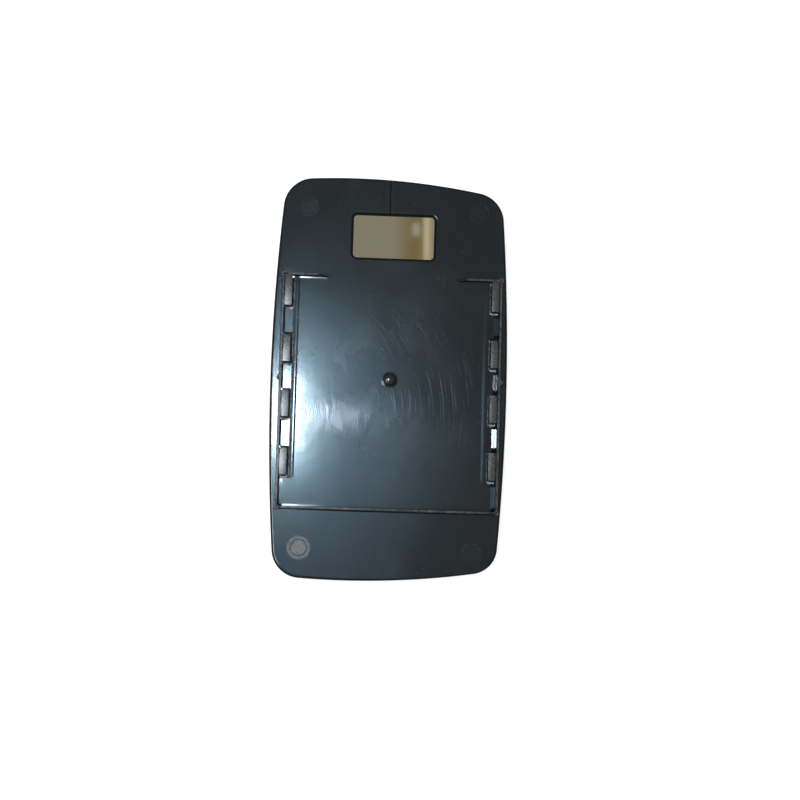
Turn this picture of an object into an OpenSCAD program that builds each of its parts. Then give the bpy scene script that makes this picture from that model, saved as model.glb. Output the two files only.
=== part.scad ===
// Replacement glass for a car door mirror: a convex mirror glass bonded into a moulded backing plate.
// It lies on its glass, hook side up: +X is the plate's right seen from the hooks, +Y points to the
// window, and the lowest point of the bulging glass is the origin. Everything that follows the glass
// is cut or swept around one sphere centre, glass_r above the origin.

/* [Outline] */
// Distance from the left rail's centre line to the plate's widest point on that side
left_margin = 5.9; // [4:0.1:12]
// The same on the right
right_margin = 5.0; // [4:0.1:12]
// Distance from the top ribs' centre line up to the plate's highest point
top_zone = 58.9; // [52:0.1:80]
// Distance from the bottom rib's centre line down to the plate's lowest point
bottom_zone = 41.6; // [34:0.1:60]
// Radius of the long left edge
left_r = 1210; // [900:10:1800]
// Radius of the long right edge
right_r = 1190; // [900:10:1800]
// Radius of the top edge
top_r = 392; // [320:2:600]
// Radius of the bottom edge
bottom_r = 482; // [320:2:600]
// Height at which the two long edges are widest
side_apex_y = -2.3; // [-20:0.1:20]
// Place along the width where the top edge is highest
top_apex_x = -20; // [-30:0.5:10]
// Place along the width where the bottom edge is lowest
bottom_apex_x = -23; // [-30:0.5:10]
// Radius of the top right corner
top_right_r = 18; // [12:0.5:24]
// Radius of the top left corner
top_left_r = 18; // [12:0.5:24]
// Radius of the bottom left corner
bottom_left_r = 17; // [12:0.5:24]
// Radius of the bottom right corner
bottom_right_r = 16; // [12:0.5:24]

/* [Mirror glass] */
// Radius of curvature of the convex front
glass_r = 1400; // [1200:50:2000]
// Thickness of the glass
glass_t = 2.0; // [1.6:0.1:3]
// Gap between the glass and the rim round it
glass_gap = 0.3; // [0.2:0.05:0.6]
// How far the glass stands proud of the rim
glass_proud = 0.3; // [0.1:0.1:1]

/* [Adhesive pad] */
// Thickness of the double-sided foam
pad_t = 0.8; // [0.5:0.1:1.5]
// How far the foam stays inside the edge of the glass
pad_inset = 2; // [1:0.5:4]
// How far the foam stays back from the window
pad_window_gap = 1.5; // [0.5:0.25:3]

/* [Backing plate] */
// Thickness of the floor
floor_t = 2.2; // [1.8:0.1:3]
// Width of the rim round the glass
rim_t = 1.6; // [1.2:0.1:2.4]

/* [Window] */
// Width of the window
window_w = 48; // [40:0.2:60]
// Height of the window
window_h = 26; // [22:0.2:32]
// How far the window's centre lies right of the clip frame's
window_off = 0.1; // [-6:0.1:6]
// Distance from the window's upper edge to the plate's highest point
window_top = 21.5; // [18:0.1:26]
// Corner radius of the window
window_corner_r = 2.4; // [1:0.2:6]

/* [Clip frame] */
// Height of the frame's flat top above the floor at the plate's centre
frame_h = 6.5; // [6:0.1:8]
// Distance between the centre lines of the two rails
rail_spacing = 128.6; // [110:0.2:150]
// Thickness of the rails and of the short top ribs
rail_t = 1.2; // [1:0.1:1.6]
// Length of a top rib from the rail's centre line
top_rib_l = 26.4; // [18:0.2:34]
// Length over which a top rib ramps down to the floor
ramp_l = 6.2; // [3:0.2:9]
// Length of bare rail between the lowest hook and the bottom rib's centre line
tail_l = 18.8; // [10:0.2:40]
// Thickness of the bottom rib
bottom_rib_t = 1.3; // [1:0.1:1.8]
// Radius of the fillets at the feet of the ribs
foot_r = 1.0; // [0.6:0.1:1.2]

/* [Hooks] */
// Distance from the frame's centre to the centres of the two middle hooks
near_hook_y = 16.2; // [12:0.1:19]
// Distance from the frame's centre to the centre of the lowest hook
far_hook_y = 50.2; // [44:0.1:60]
// Length of a hook along the rail
hook_l = 15.6; // [12:0.1:18]
// Length of the topmost hook, which runs up against the top rib
top_hook_l = 18.1; // [14:0.1:22]
// Distance from the frame's centre to that hook's lower end
top_hook_y = 41.9; // [38:0.1:50]
// Width of a hook's flat top
hook_w = 4.3; // [3:0.1:5]
// Thickness of the overhanging hook
hook_t = 1.6; // [1.2:0.1:2]
// Width of the groove between a hook and its rail
hook_groove_w = 0.4; // [0.3:0.1:0.8]
// Depth of that groove below the rail's top
hook_groove_d = 1.0; // [0.8:0.1:1.2]
// How far a hook's top lies below the rail's top
hook_drop = 0.4; // [0.2:0.1:0.6]
// Thickness of the wall that carries the hook, beside the rail
hook_wall = 0.8; // [0.6:0.1:1.2]
// How far the left core holes show beyond their hooks' edges
left_core_reach = 1.1; // [0.4:0.1:2.4]
// The same on the right
right_core_reach = 0.4; // [0.4:0.1:2.4]
// How far the core hole runs past each end of the hook
core_end = 0.7; // [0.4:0.1:1.2]
// Corner radius of the core holes
core_corner_r = 0.8; // [0.4:0.1:1.2]
// Radius of the fillet between the floor and the left rail, beside the hooks
left_bay_r = 1.0; // [0.6:0.1:3]
// The same on the right
right_bay_r = 2.4; // [0.6:0.1:3]

/* [Guide ridges] */
// Distance from a hook's edge to the middle of the ridge
ridge_off = 2.6; // [2.4:0.1:4]
// Width of the low ridge beside the core holes
ridge_w = 3.6; // [2:0.1:4]
// Height of the ridge above the floor
ridge_h = 0.25; // [0.15:0.05:0.5]

/* [Centre pin] */
// Radius of the pin
pin_r = 3.5; // [3:0.1:4.5]
// Height of the pin above the floor
pin_h = 6; // [5.5:0.1:7]
// Radius of the fillet round the pin's foot
pin_foot_r = 1.0; // [0.6:0.1:1.2]

/* [Ejector marks] */
// Radius of the small bosses on the frame
boss_r = 1.45; // [1.2:0.05:1.8]
// How far the bosses half way along the rails stand outside the rail
boss_out = 0.5; // [0.2:0.1:0.8]
// Radius of the round marks near the corners
mark_r = 5; // [3:0.1:6]
// Depth of the round marks
mark_d = 0.15; // [0.1:0.05:0.3]
// How far the marks lie inside the rails' centre lines
mark_in = 13.8; // [12:0.1:18]
// Distance of the marks from the plate's highest and lowest points
mark_down = 18.3; // [15:0.1:22]

/* [Hidden] */
$fn = 64;
ball_facets = 480;
// Long edges are drawn in steps of this length, corners in finer ones
edge_step = 8;
corner_step = 1.6;
// Cutters and blanks run past what they cut by this much
over = 1;

// Heights of the layers above the front of the glass, all measured along the radius
pad_level = glass_t;
seat_level = pad_level + pad_t;
floor_level = seat_level + floor_t;
frame_top = floor_level + frame_h;
blank_h = frame_top + 3;

// The frame is laid out from its own centre, half way between the two middle hooks, where the pin is
rail_x = rail_spacing / 2;
rail_face = rail_x - rail_t / 2;
top_rib_face = top_hook_y + top_hook_l;
top_rib_y = top_rib_face + rail_t / 2;
bottom_rib_y = far_hook_y + hook_l / 2 + tail_l;
bottom_rib_face = bottom_rib_y - bottom_rib_t / 2;
hook_out = rail_face - hook_groove_w;
hook_tip = hook_out - hook_w;
core_out = rail_face - hook_wall;
ridge_mid = hook_tip - ridge_off;
hook_top = frame_top - hook_drop;

// The plate is the frame with its margins, and the frame's centre lies off the plate's by these
plate_w = rail_spacing + left_margin + right_margin;
plate_h = top_zone + top_rib_y + bottom_rib_y + bottom_zone;
clip_x = (left_margin - right_margin) / 2;
clip_y = (bottom_rib_y + bottom_zone - top_rib_y - top_zone) / 2;
window_x = clip_x + window_off;
window_y = plate_h / 2 - window_top - window_h / 2;

// Each hook as its lower and upper end, from the topmost down
hooks = [
    [top_hook_y, top_rib_face],
    [near_hook_y - hook_l / 2, near_hook_y + hook_l / 2],
    [-near_hook_y - hook_l / 2, -near_hook_y + hook_l / 2],
    [-far_hook_y - hook_l / 2, -far_hook_y + hook_l / 2]
];
function lower_end(i) = hooks[i][0] - core_end;
function upper_end(i) = hooks[i][1] + (i == 0 ? 0 : core_end);
function core_in(side) = hook_tip - (side < 0 ? left_core_reach : right_core_reach);

// The four long edges, anticlockwise from the right, as centre and radius
edges = [
    [[plate_w / 2 - right_r, side_apex_y], right_r],
    [[top_apex_x, plate_h / 2 - top_r], top_r],
    [[left_r - plate_w / 2, side_apex_y], left_r],
    [[bottom_apex_x, bottom_r - plate_h / 2], bottom_r]
];
corners = [top_right_r, top_left_r, bottom_left_r, bottom_right_r];

// The angle of v, counted from the direction m so that it never jumps by a turn
function angle_near(v, m) =
    m + atan2(v.y * cos(m) - v.x * sin(m), v.x * cos(m) + v.y * sin(m));

function arc(c, r, from, to, step) =
    let (n = max(2, ceil(abs(to - from) * PI / 180 * r / step)))
    [for (i = [0 : n - 1]) let (a = from + (to - from) * i / n) c + r * [cos(a), sin(a)]];

// Centre of the corner between edge i and the next: it touches both from inside
function corner_centre(i) =
    let (
        a = edges[i % 4],
        b = edges[(i + 1) % 4],
        ra = a[1] - corners[i % 4],
        rb = b[1] - corners[i % 4],
        d = norm(b[0] - a[0]),
        u = (b[0] - a[0]) / d,
        t = (ra * ra - rb * rb + d * d) / (2 * d)
    )
    a[0] + u * t + [-u.y, u.x] * sqrt(ra * ra - t * t);

// The plate's outline, moved inwards by inset
function outline_points(inset) = [
    for (i = [0 : 3])
        let (
            c = edges[i][0],
            after = corner_centre(i),
            from = angle_near(corner_centre(i + 3) - c, 90 * i),
            to = angle_near(after - c, 90 * i),
            next = angle_near(after - edges[(i + 1) % 4][0], 90 * (i + 1))
        )
        each concat(
            arc(c, edges[i][1] - inset, from, to, edge_step),
            arc(after, corners[i] - inset, to, next, corner_step)
        )
];

module outline_block(inset) {
    translate([0, 0, -over]) linear_extrude(blank_h + over) polygon(outline_points(inset));
}

// The ball whose underside is the layer at this level; its poles are turned off to the sides
module ball(level) {
    translate([0, 0, glass_r]) rotate([90, 0, 0]) sphere(r = glass_r - level, $fn = ball_facets);
}

// A sheet that fills the outline from one level up to another
module layer(inset, from, to) {
    difference() {
        intersection() {
            outline_block(inset);
            ball(from);
        }
        ball(to);
    }
}

// Distance of the floor from the sphere's axis that lies square to a line s away from the middle
function floor_rho(s) = sqrt(pow(glass_r - floor_level, 2) - s * s);

// Sweeps a section up the plate at x, round the floor's own curve. The section is drawn with its
// height above the floor along X and the distance from x along Y.
module sweep_up(x, y0, y1) {
    rho = floor_rho(x);
    a0 = asin(y0 / rho);
    a1 = asin(y1 / rho);
    translate([0, 0, glass_r]) rotate([0, 90, 0]) rotate([0, 0, a0])
        rotate_extrude(angle = a1 - a0, $fn = ball_facets * 2)
            translate([rho, x]) mirror([1, 0]) children();
}

// The same across the plate at y, from x0 to x1
module sweep_across(y, x0, x1) {
    rho = floor_rho(y);
    a0 = asin(x0 / rho);
    a1 = asin(x1 / rho);
    translate([0, 0, glass_r]) rotate([0, 0, -90]) rotate([0, 90, 0]) rotate([0, 0, a0])
        rotate_extrude(angle = a1 - a0, $fn = ball_facets * 2)
            translate([rho, -y]) mirror([1, 0]) children();
}

// Section of a fillet in the corner between the floor and a wall at 0; it spreads towards +Y
module fillet_section(r) {
    difference() {
        translate([-floor_t / 2, -rail_t / 2]) square([r + floor_t / 2, r + rail_t / 2]);
        translate([r, r]) circle(r);
    }
}

module both_sides() {
    for (side = [0, 1]) translate([clip_x, clip_y, 0]) mirror([side, 0, 0]) children();
}

module standing_block(x0, x1, y0, y1, top) {
    translate([x0, y0, seat_level]) cube([x1 - x0, y1 - y0, top - seat_level]);
}

module rail() {
    standing_block(rail_face, rail_face + rail_t, -bottom_rib_y, top_rib_y, frame_top);
    for (y = [-bottom_rib_y, top_rib_y]) boss(rail_x, y);
    boss(rail_x + boss_out, 0);
}

module boss(x, y) {
    translate([x, y, seat_level]) cylinder(r = boss_r, h = frame_top - seat_level);
}

module top_rib() {
    end = rail_x - top_rib_l;
    translate([0, top_rib_y + rail_t / 2, 0]) rotate([90, 0, 0]) linear_extrude(rail_t)
        polygon([
            [rail_x, seat_level],
            [rail_x, frame_top],
            [end + ramp_l, frame_top],
            [end, floor_level],
            [end, seat_level]
        ]);
}

module bottom_rib() {
    translate([clip_x, clip_y, 0])
        standing_block(-rail_x, rail_x, -bottom_rib_y - bottom_rib_t / 2, -bottom_rib_face, frame_top);
}

// One hook as a solid block: core() hollows out the slot under it
module hook(i) {
    standing_block(hook_tip, rail_x, hooks[i][0], hooks[i][1], hook_top);
}

module hook_groove(i) {
    translate([hook_out, hooks[i][0] - over, frame_top - hook_groove_d])
        cube([hook_groove_w, hooks[i][1] - hooks[i][0] + over, hook_groove_d + over]);
}

// The core hole runs right through the floor and under the hook
module core(side, i) {
    x0 = core_in(side);
    y0 = lower_end(i);
    y1 = upper_end(i);
    corner = core_corner_r;
    translate([clip_x, clip_y, -over]) mirror([side < 0 ? 1 : 0, 0, 0])
        linear_extrude(hook_top - hook_t + over)
            union() {
                translate([x0 + corner, y0]) square([core_out - x0 - corner, y1 - y0]);
                translate([x0, y0 + corner]) square([core_out - x0, y1 - y0 - 2 * corner]);
                for (y = [y0 + corner, y1 - corner]) translate([x0 + corner, y]) circle(corner);
            }
}

// Below each hook the floor runs up to the rail in a fillet, as far as the next core hole or rib
module bay(side, i) {
    y0 = i == len(hooks) - 1 ? -bottom_rib_face : upper_end(i + 1);
    sweep_up(clip_x + side * rail_face, clip_y + y0, clip_y + lower_end(i))
        mirror([0, side > 0 ? 1 : 0]) fillet_section(side < 0 ? left_bay_r : right_bay_r);
}

// Fillets along the feet of the top and bottom ribs, on the sides that face the pin
module rib_feet() {
    for (side = [-1, 1]) {
        x0 = clip_x + side * (rail_x - top_rib_l);
        x1 = clip_x + side * ridge_mid;
        sweep_across(clip_y + top_rib_face, min(x0, x1), max(x0, x1)) fillet_section(foot_r);
    }
    sweep_across(clip_y - bottom_rib_face, clip_x - rail_face, clip_x + rail_face)
        mirror([0, 1]) fillet_section(foot_r);
}

module centre_pin() {
    dome_z = floor_level + pin_h - pin_r;
    translate([clip_x, clip_y, 0]) {
        translate([0, 0, seat_level]) cylinder(r = pin_r, h = dome_z - seat_level);
        translate([0, 0, dome_z]) sphere(r = pin_r);
        translate([0, 0, floor_level]) rotate_extrude()
            difference() {
                translate([0, -floor_t / 2]) square([pin_r + pin_foot_r, pin_foot_r + floor_t / 2]);
                translate([pin_r + pin_foot_r, pin_foot_r]) circle(pin_foot_r);
            }
    }
}

module window_prism(grow) {
    r = window_corner_r;
    w = window_w + 2 * grow;
    h = window_h + 2 * grow;
    translate([window_x, window_y, -over]) linear_extrude(blank_h + 2 * over)
        union() {
            square([w - 2 * r, h], center = true);
            square([w, h - 2 * r], center = true);
            for (x = [-1, 1], y = [-1, 1]) translate([x * (w / 2 - r), y * (h / 2 - r)]) circle(r);
        }
}

module ejector_marks() {
    intersection() {
        for (x = [-1, 1], y = [-1, 1])
            translate([clip_x + x * (rail_x - mark_in), y * (plate_h / 2 - mark_down), seat_level])
                cylinder(r = mark_r, h = blank_h - seat_level);
        ball(floor_level - mark_d);
    }
}

// The ridge's crown is an arc of the width and height asked for
module ridge(side) {
    r = (pow(ridge_w / 2, 2) + pow(ridge_h, 2)) / (2 * ridge_h);
    foot = floor_t / 2;
    sweep_up(clip_x + side * ridge_mid, clip_y + hooks[len(hooks) - 1][0], clip_y + top_rib_y)
        intersection() {
            translate([ridge_h - r, 0]) circle(r, $fn = 256);
            translate([-foot, -ridge_w / 2]) square([foot + ridge_h, ridge_w]);
        }
}

module backing_plate() {
    color([0.10, 0.11, 0.12])
        difference() {
            intersection() {
                union() {
                    difference() {
                        outline_block(0);
                        ball(floor_level);
                    }
                    both_sides() {
                        rail();
                        top_rib();
                        for (i = [0 : len(hooks) - 1]) hook(i);
                    }
                    for (side = [-1, 1], i = [0 : len(hooks) - 1]) bay(side, i);
                    for (side = [-1, 1]) ridge(side);
                    bottom_rib();
                    rib_feet();
                    centre_pin();
                }
                ball(glass_proud);
            }
            difference() {
                outline_block(rim_t);
                ball(seat_level);
            }
            window_prism(0);
            both_sides()
                for (i = [0 : len(hooks) - 1]) hook_groove(i);
            for (side = [-1, 1], i = [0 : len(hooks) - 1]) core(side, i);
            ejector_marks();
        }
}

module adhesive_pad() {
    color([0.25, 0.25, 0.26])
        difference() {
            layer(rim_t + glass_gap + pad_inset, pad_level, seat_level);
            window_prism(pad_window_gap);
        }
}

module mirror_glass() {
    color([0.72, 0.70, 0.60]) layer(rim_t + glass_gap, 0, pad_level);
}

backing_plate();
adhesive_pad();
mirror_glass();
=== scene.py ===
import math
import random
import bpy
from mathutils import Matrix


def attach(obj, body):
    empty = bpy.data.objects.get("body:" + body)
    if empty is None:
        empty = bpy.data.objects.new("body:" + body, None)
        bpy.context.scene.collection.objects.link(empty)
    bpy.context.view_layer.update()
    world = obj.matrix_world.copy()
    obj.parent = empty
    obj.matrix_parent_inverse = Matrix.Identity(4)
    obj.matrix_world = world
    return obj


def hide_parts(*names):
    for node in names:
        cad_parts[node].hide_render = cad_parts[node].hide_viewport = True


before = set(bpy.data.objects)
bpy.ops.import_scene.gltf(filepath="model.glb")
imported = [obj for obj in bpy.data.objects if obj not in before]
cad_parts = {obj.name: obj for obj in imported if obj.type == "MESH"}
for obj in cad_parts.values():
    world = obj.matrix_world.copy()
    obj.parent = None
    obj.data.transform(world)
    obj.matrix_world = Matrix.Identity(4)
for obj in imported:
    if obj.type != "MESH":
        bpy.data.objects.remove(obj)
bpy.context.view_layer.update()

from types import SimpleNamespace

import bmesh
import bpy
import numpy as np
from bpy.props import FloatProperty, FloatVectorProperty, IntProperty, PointerProperty
from mathutils import Matrix, Vector
from mathutils.geometry import delaunay_2d_cdt

bl_info = {
    "name": "Door mirror glass",
    "version": (1, 0, 0),
    "blender": (4, 5, 0),
    "location": "3D View > Sidebar > Door mirror",
    "description": "Dresses a door mirror glass: backing plate with hooked rails, foam pad and convex glass",
    "category": "Object",
}

MM = 0.001
QUARTER = math.pi / 2

# Small shapes that several pieces share, in millimetres: how far feet reach below the floor's
# surface, and the rounding of the frame's top edges, of the rim's front and the ground glass, and
# of the core holes
BURIED, FRAME_EDGE, SMALL_EDGE, CORE_EDGE = 0.6, 0.15, 0.35, 0.15

# Material slots of the frame's and the plate's meshes; the dull slot holds a darker, dull copy of the black
# plastic, a painted shade on walls and steep roundings
GLOSS, SATIN, SHADED_DULL = 0, 1, 2
PLATE_SHADED_DULL = 1


def length(name, description, default):
    return FloatProperty(name=name, description=description, default=default, unit="LENGTH", precision=5)


def place(name, description, default):
    return FloatProperty(
        name=name, description=description, default=default, subtype="DISTANCE", unit="LENGTH", precision=5,
    )


def turned(name, description, degrees):
    return FloatProperty(name=name, description=description, default=math.radians(degrees), unit="ROTATION")


def tint(name, description, default):
    return FloatVectorProperty(
        name=name, description=description, default=default, subtype="COLOR", min=0, max=1,
    )


class PlateSizes(bpy.types.PropertyGroup):
    """Outline, thicknesses and window of the backing plate, with the glass and pad it holds"""

    left_margin: length("Left margin", "From the left rail's centre line to the plate's left side", 0.0059)
    right_margin: length("Right margin", "From the right rail's centre line to the plate's right side", 0.005)
    top_zone: length("Top zone", "From the top ribs' centre line up to the highest point", 0.0589)
    bottom_zone: length("Bottom zone", "From the bottom rib's centre line down to the lowest point", 0.0416)
    left_r: length("Left edge radius", "Radius of the long left edge", 1.21)
    right_r: length("Right edge radius", "Radius of the long right edge", 1.19)
    top_r: length("Top edge radius", "Radius of the top edge", 0.392)
    bottom_r: length("Bottom edge radius", "Radius of the bottom edge", 0.482)
    side_apex_y: place("Side apex", "Height at which the two long edges are widest", -0.0023)
    top_apex_x: place("Top apex", "Place along the width where the top edge is highest", -0.02)
    bottom_apex_x: place("Bottom apex", "Place along the width where the bottom edge is lowest", -0.023)
    top_right_r: length("Top right corner", "Radius of the top right corner", 0.018)
    top_left_r: length("Top left corner", "Radius of the top left corner", 0.018)
    bottom_left_r: length("Bottom left corner", "Radius of the bottom left corner", 0.017)
    bottom_right_r: length("Bottom right corner", "Radius of the bottom right corner", 0.016)
    glass_r: length("Glass curvature", "Radius of curvature of the convex front", 1.4)
    glass_t: length("Glass thickness", "Thickness of the glass", 0.002)
    glass_gap: length("Glass gap", "Gap between the glass and the rim round it", 0.0003)
    glass_proud: length("Glass proud", "How far the glass stands proud of the rim", 0.0003)
    pad_t: length("Pad thickness", "Thickness of the double-sided foam", 0.0008)
    floor_t: length("Floor thickness", "Thickness of the plate's floor", 0.0022)
    rim_t: length("Rim width", "Width of the rim round the glass", 0.0016)
    rim_round: length("Rim rounding", "Radius of the plate's rounded back edge", 0.0015)
    window_w: length("Window width", "Width of the window", 0.048)
    window_h: length("Window height", "Height of the window", 0.0254)
    window_off: place("Window offset", "How far the window's centre lies right of the clip frame's", 0.0001)
    window_top: length("Window to top", "From the window's upper edge to the highest point", 0.0215)
    window_corner_r: length("Window corner", "Corner radius of the window", 0.0024)
    lip_round: length("Window lip", "Radius of the window's rounded lip", 0.0018)
    mark_r: length("Ejector mark radius", "Radius of the round marks near the corners", 0.005)
    mark_d: length("Ejector mark depth", "Depth of the round marks", 0.00015)
    mark_in: length("Ejector mark inset", "How far the marks lie inside the rails' centre lines", 0.0138)
    mark_down: length("Ejector mark to end", "Distance of the marks from the highest and lowest points", 0.0183)


class ClipSizes(bpy.types.PropertyGroup):
    """The clip frame on the back: rails, ribs, hooks, core holes, guide ridges and pin"""

    frame_h: length("Frame height", "Height of the frame's flat top above the floor at the centre", 0.0065)
    rail_spacing: length("Rail spacing", "Distance between the centre lines of the two rails", 0.1286)
    rail_t: length("Rail thickness", "Thickness of the rails and of the short top ribs", 0.0012)
    top_rib_l: length("Top rib length", "Length of a top rib from the rail's centre line", 0.0264)
    ramp_l: length("Ramp length", "Length over which a top rib ramps down to the floor", 0.0062)
    tail_l: length("Rail tail", "Bare rail between the lowest hook and the bottom rib", 0.0188)
    bottom_rib_t: length("Bottom rib thickness", "Thickness of the bottom rib", 0.0013)
    foot_r: length("Foot fillet", "Radius of the fillets at the feet of the ribs", 0.001)
    near_hook_y: length("Near hooks", "From the frame's centre to the two middle hooks", 0.0162)
    far_hook_y: length("Lowest hook", "From the frame's centre to the lowest hook", 0.0502)
    hook_l: length("Hook length", "Length of a hook along the rail", 0.0156)
    top_hook_l: length("Top hook length", "Length of the topmost hook", 0.0181)
    top_hook_y: length("Top hook", "From the frame's centre to the topmost hook's lower end", 0.0419)
    hook_w: length("Hook width", "Width of a hook's flat top", 0.0043)
    hook_t: length("Hook thickness", "Thickness of the overhanging hook", 0.0016)
    hook_groove_w: length("Hook groove width", "Width of the groove between a hook and its rail", 0.0004)
    hook_groove_d: length("Hook groove depth", "Depth of that groove below the rail's top", 0.001)
    hook_drop: length("Hook drop", "How far a hook's top lies below the rail's top", 0.0004)
    hook_wall: length("Hook wall", "Thickness of the wall that carries the hook", 0.0008)
    left_core_reach: length("Left core reach", "How far the left core holes show beyond the hooks", 0.0011)
    right_core_reach: length("Right core reach", "How far the right core holes show beyond the hooks", 0.0004)
    core_end: length("Core end", "How far the core hole runs past the lower end of the hook", 0.0007)
    upper_core_end: length("Upper core end", "How far it runs past the upper end of the lower hooks", 0.0015)
    second_core_end: length("Second core end", "The same at the second hook from the top", 0.0023)
    core_corner_r: length("Core corner", "Corner radius of the core holes", 0.0008)
    left_bay_r: length("Left bay fillet", "Fillet between floor and left rail, beside the hooks", 0.001)
    right_bay_r: length("Right bay fillet", "The same on the right", 0.0024)
    bay_lean: FloatProperty(name="Bay lean", description="Slope of the strip beside the right rail", default=0.061)
    bay_lean_w: length("Leaning strip", "Width of that strip", 0.0027)
    ridge_off: length("Ridge offset", "From a hook's edge to the middle of the guide ridge", 0.0026)
    ridge_w: length("Ridge width", "Width of the low ridge beside the core holes", 0.0036)
    ridge_h: length("Ridge height", "Height of the ridge above the floor", 0.00025)
    flash_h: length("Flash height", "Height of the moulding flash round the core holes", 0.0003)
    pin_r: length("Pin radius", "Radius of the centre pin", 0.0035)
    pin_h: length("Pin height", "Height of the centre pin above the floor", 0.006)
    pin_foot_r: length("Pin fillet", "Radius of the fillet round the pin's foot", 0.001)
    boss_r: length("Boss radius", "Radius of the small ejector bosses on the frame", 0.00145)
    boss_out: length("Boss offset", "How far the middle bosses stand outside the rail", 0.0005)


class Finishes(bpy.types.PropertyGroup):
    """Colours and gloss of the part's materials"""

    plastic: tint("Black plastic", "Colour of the glossy black moulding", (0.0072, 0.0088, 0.0125))
    worn: tint("Rubbed plastic", "Colour of its rubbed and dusty places", (0.16, 0.165, 0.17))
    matt: tint("Matt hook tops", "Colour of the eroded matt faces", (0.02, 0.02, 0.022))
    silver: tint("Mirror coating", "Colour of the mirror coating", (0.9, 0.89, 0.86))
    foam: tint("Foam", "Colour of the adhesive foam", (0.03, 0.03, 0.032))
    gloss: FloatProperty(
        name="Gloss roughness", description="Roughness of the polished plastic",
        default=0.08, min=0.02, max=0.6, subtype="FACTOR",
    )
    seed: IntProperty(name="Seed", description="Seed of the flash's irregular shape", default=7)


class StageSettings(bpy.types.PropertyGroup):
    """Camera, lights and the room that the glossy faces mirror"""

    camera_distance: length("Camera distance", "From the middle of the part to the camera", 1.2)
    tilt_left: turned("Tilt left", "How far the camera stands to the left of straight above", 2.5)
    tilt_down: turned("Tilt down", "How far the camera stands below straight above", 6.5)
    roll: turned("Roll", "Lean of the part in the picture", 1.635)
    focal_px: FloatProperty(
        name="Focal length", description="Focal length in pixels of a picture 800 wide", default=2040.0,
    )
    lamp_height: length("Lamp height", "Height of the lamps above the part", 0.65)
    room_level: FloatProperty(
        name="Room level", description="Brightness of the even light from all sides", default=0.9,
    )


def mm_sizes(scene):
    """All sizes in millimetres, with the ones that follow from them"""
    s = SimpleNamespace()
    for group in (scene.plate_sizes, scene.clip_sizes):
        for key in group.__annotations__:
            setattr(s, key, getattr(group, key) * (1 if key == "bay_lean" else 1000))
    s.seat_level = s.glass_t + s.pad_t
    s.floor_level = s.seat_level + s.floor_t
    s.frame_top = s.floor_level + s.frame_h
    s.rail_x = s.rail_spacing / 2
    s.rail_face = s.rail_x - s.rail_t / 2
    s.top_rib_face = s.top_hook_y + s.top_hook_l
    s.top_rib_y = s.top_rib_face + s.rail_t / 2
    s.bottom_rib_y = s.far_hook_y + s.hook_l / 2 + s.tail_l
    s.bottom_rib_face = s.bottom_rib_y - s.bottom_rib_t / 2
    s.hook_out = s.rail_face - s.hook_groove_w
    s.hook_tip = s.hook_out - s.hook_w
    s.core_out = s.rail_face - s.hook_wall
    s.ridge_mid = s.hook_tip - s.ridge_off
    s.hook_top = s.frame_top - s.hook_drop
    s.plate_w = s.rail_spacing + s.left_margin + s.right_margin
    s.plate_h = s.top_zone + s.top_rib_y + s.bottom_rib_y + s.bottom_zone
    s.clip_x = (s.left_margin - s.right_margin) / 2
    s.clip_y = (s.bottom_rib_y + s.bottom_zone - s.top_rib_y - s.top_zone) / 2
    s.window_x = s.clip_x + s.window_off
    s.window_y = s.plate_h / 2 - s.window_top - s.window_h / 2
    near, far, half = s.near_hook_y, s.far_hook_y, s.hook_l / 2
    s.hooks = [
        (s.top_hook_y, s.top_rib_face),
        (near - half, near + half),
        (-near - half, -near + half),
        (-far - half, -far + half),
    ]
    return s


def core_in(s, side):
    return s.hook_tip - (s.left_core_reach if side < 0 else s.right_core_reach)


def core_ends(s, i):
    upper = (0, s.second_core_end, s.upper_core_end, s.upper_core_end)[i]
    return s.hooks[i][0] - s.core_end, s.hooks[i][1] + upper


def ball_z(s, x, y, level):
    """Height of a layer that follows the glass"""
    r = s.glass_r - level
    return s.glass_r - math.sqrt(r * r - x * x - y * y)


def ball_normal(s, x, y, level):
    r = s.glass_r - level
    return Vector((-x / r, -y / r, math.sqrt(r * r - x * x - y * y) / r))


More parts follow.
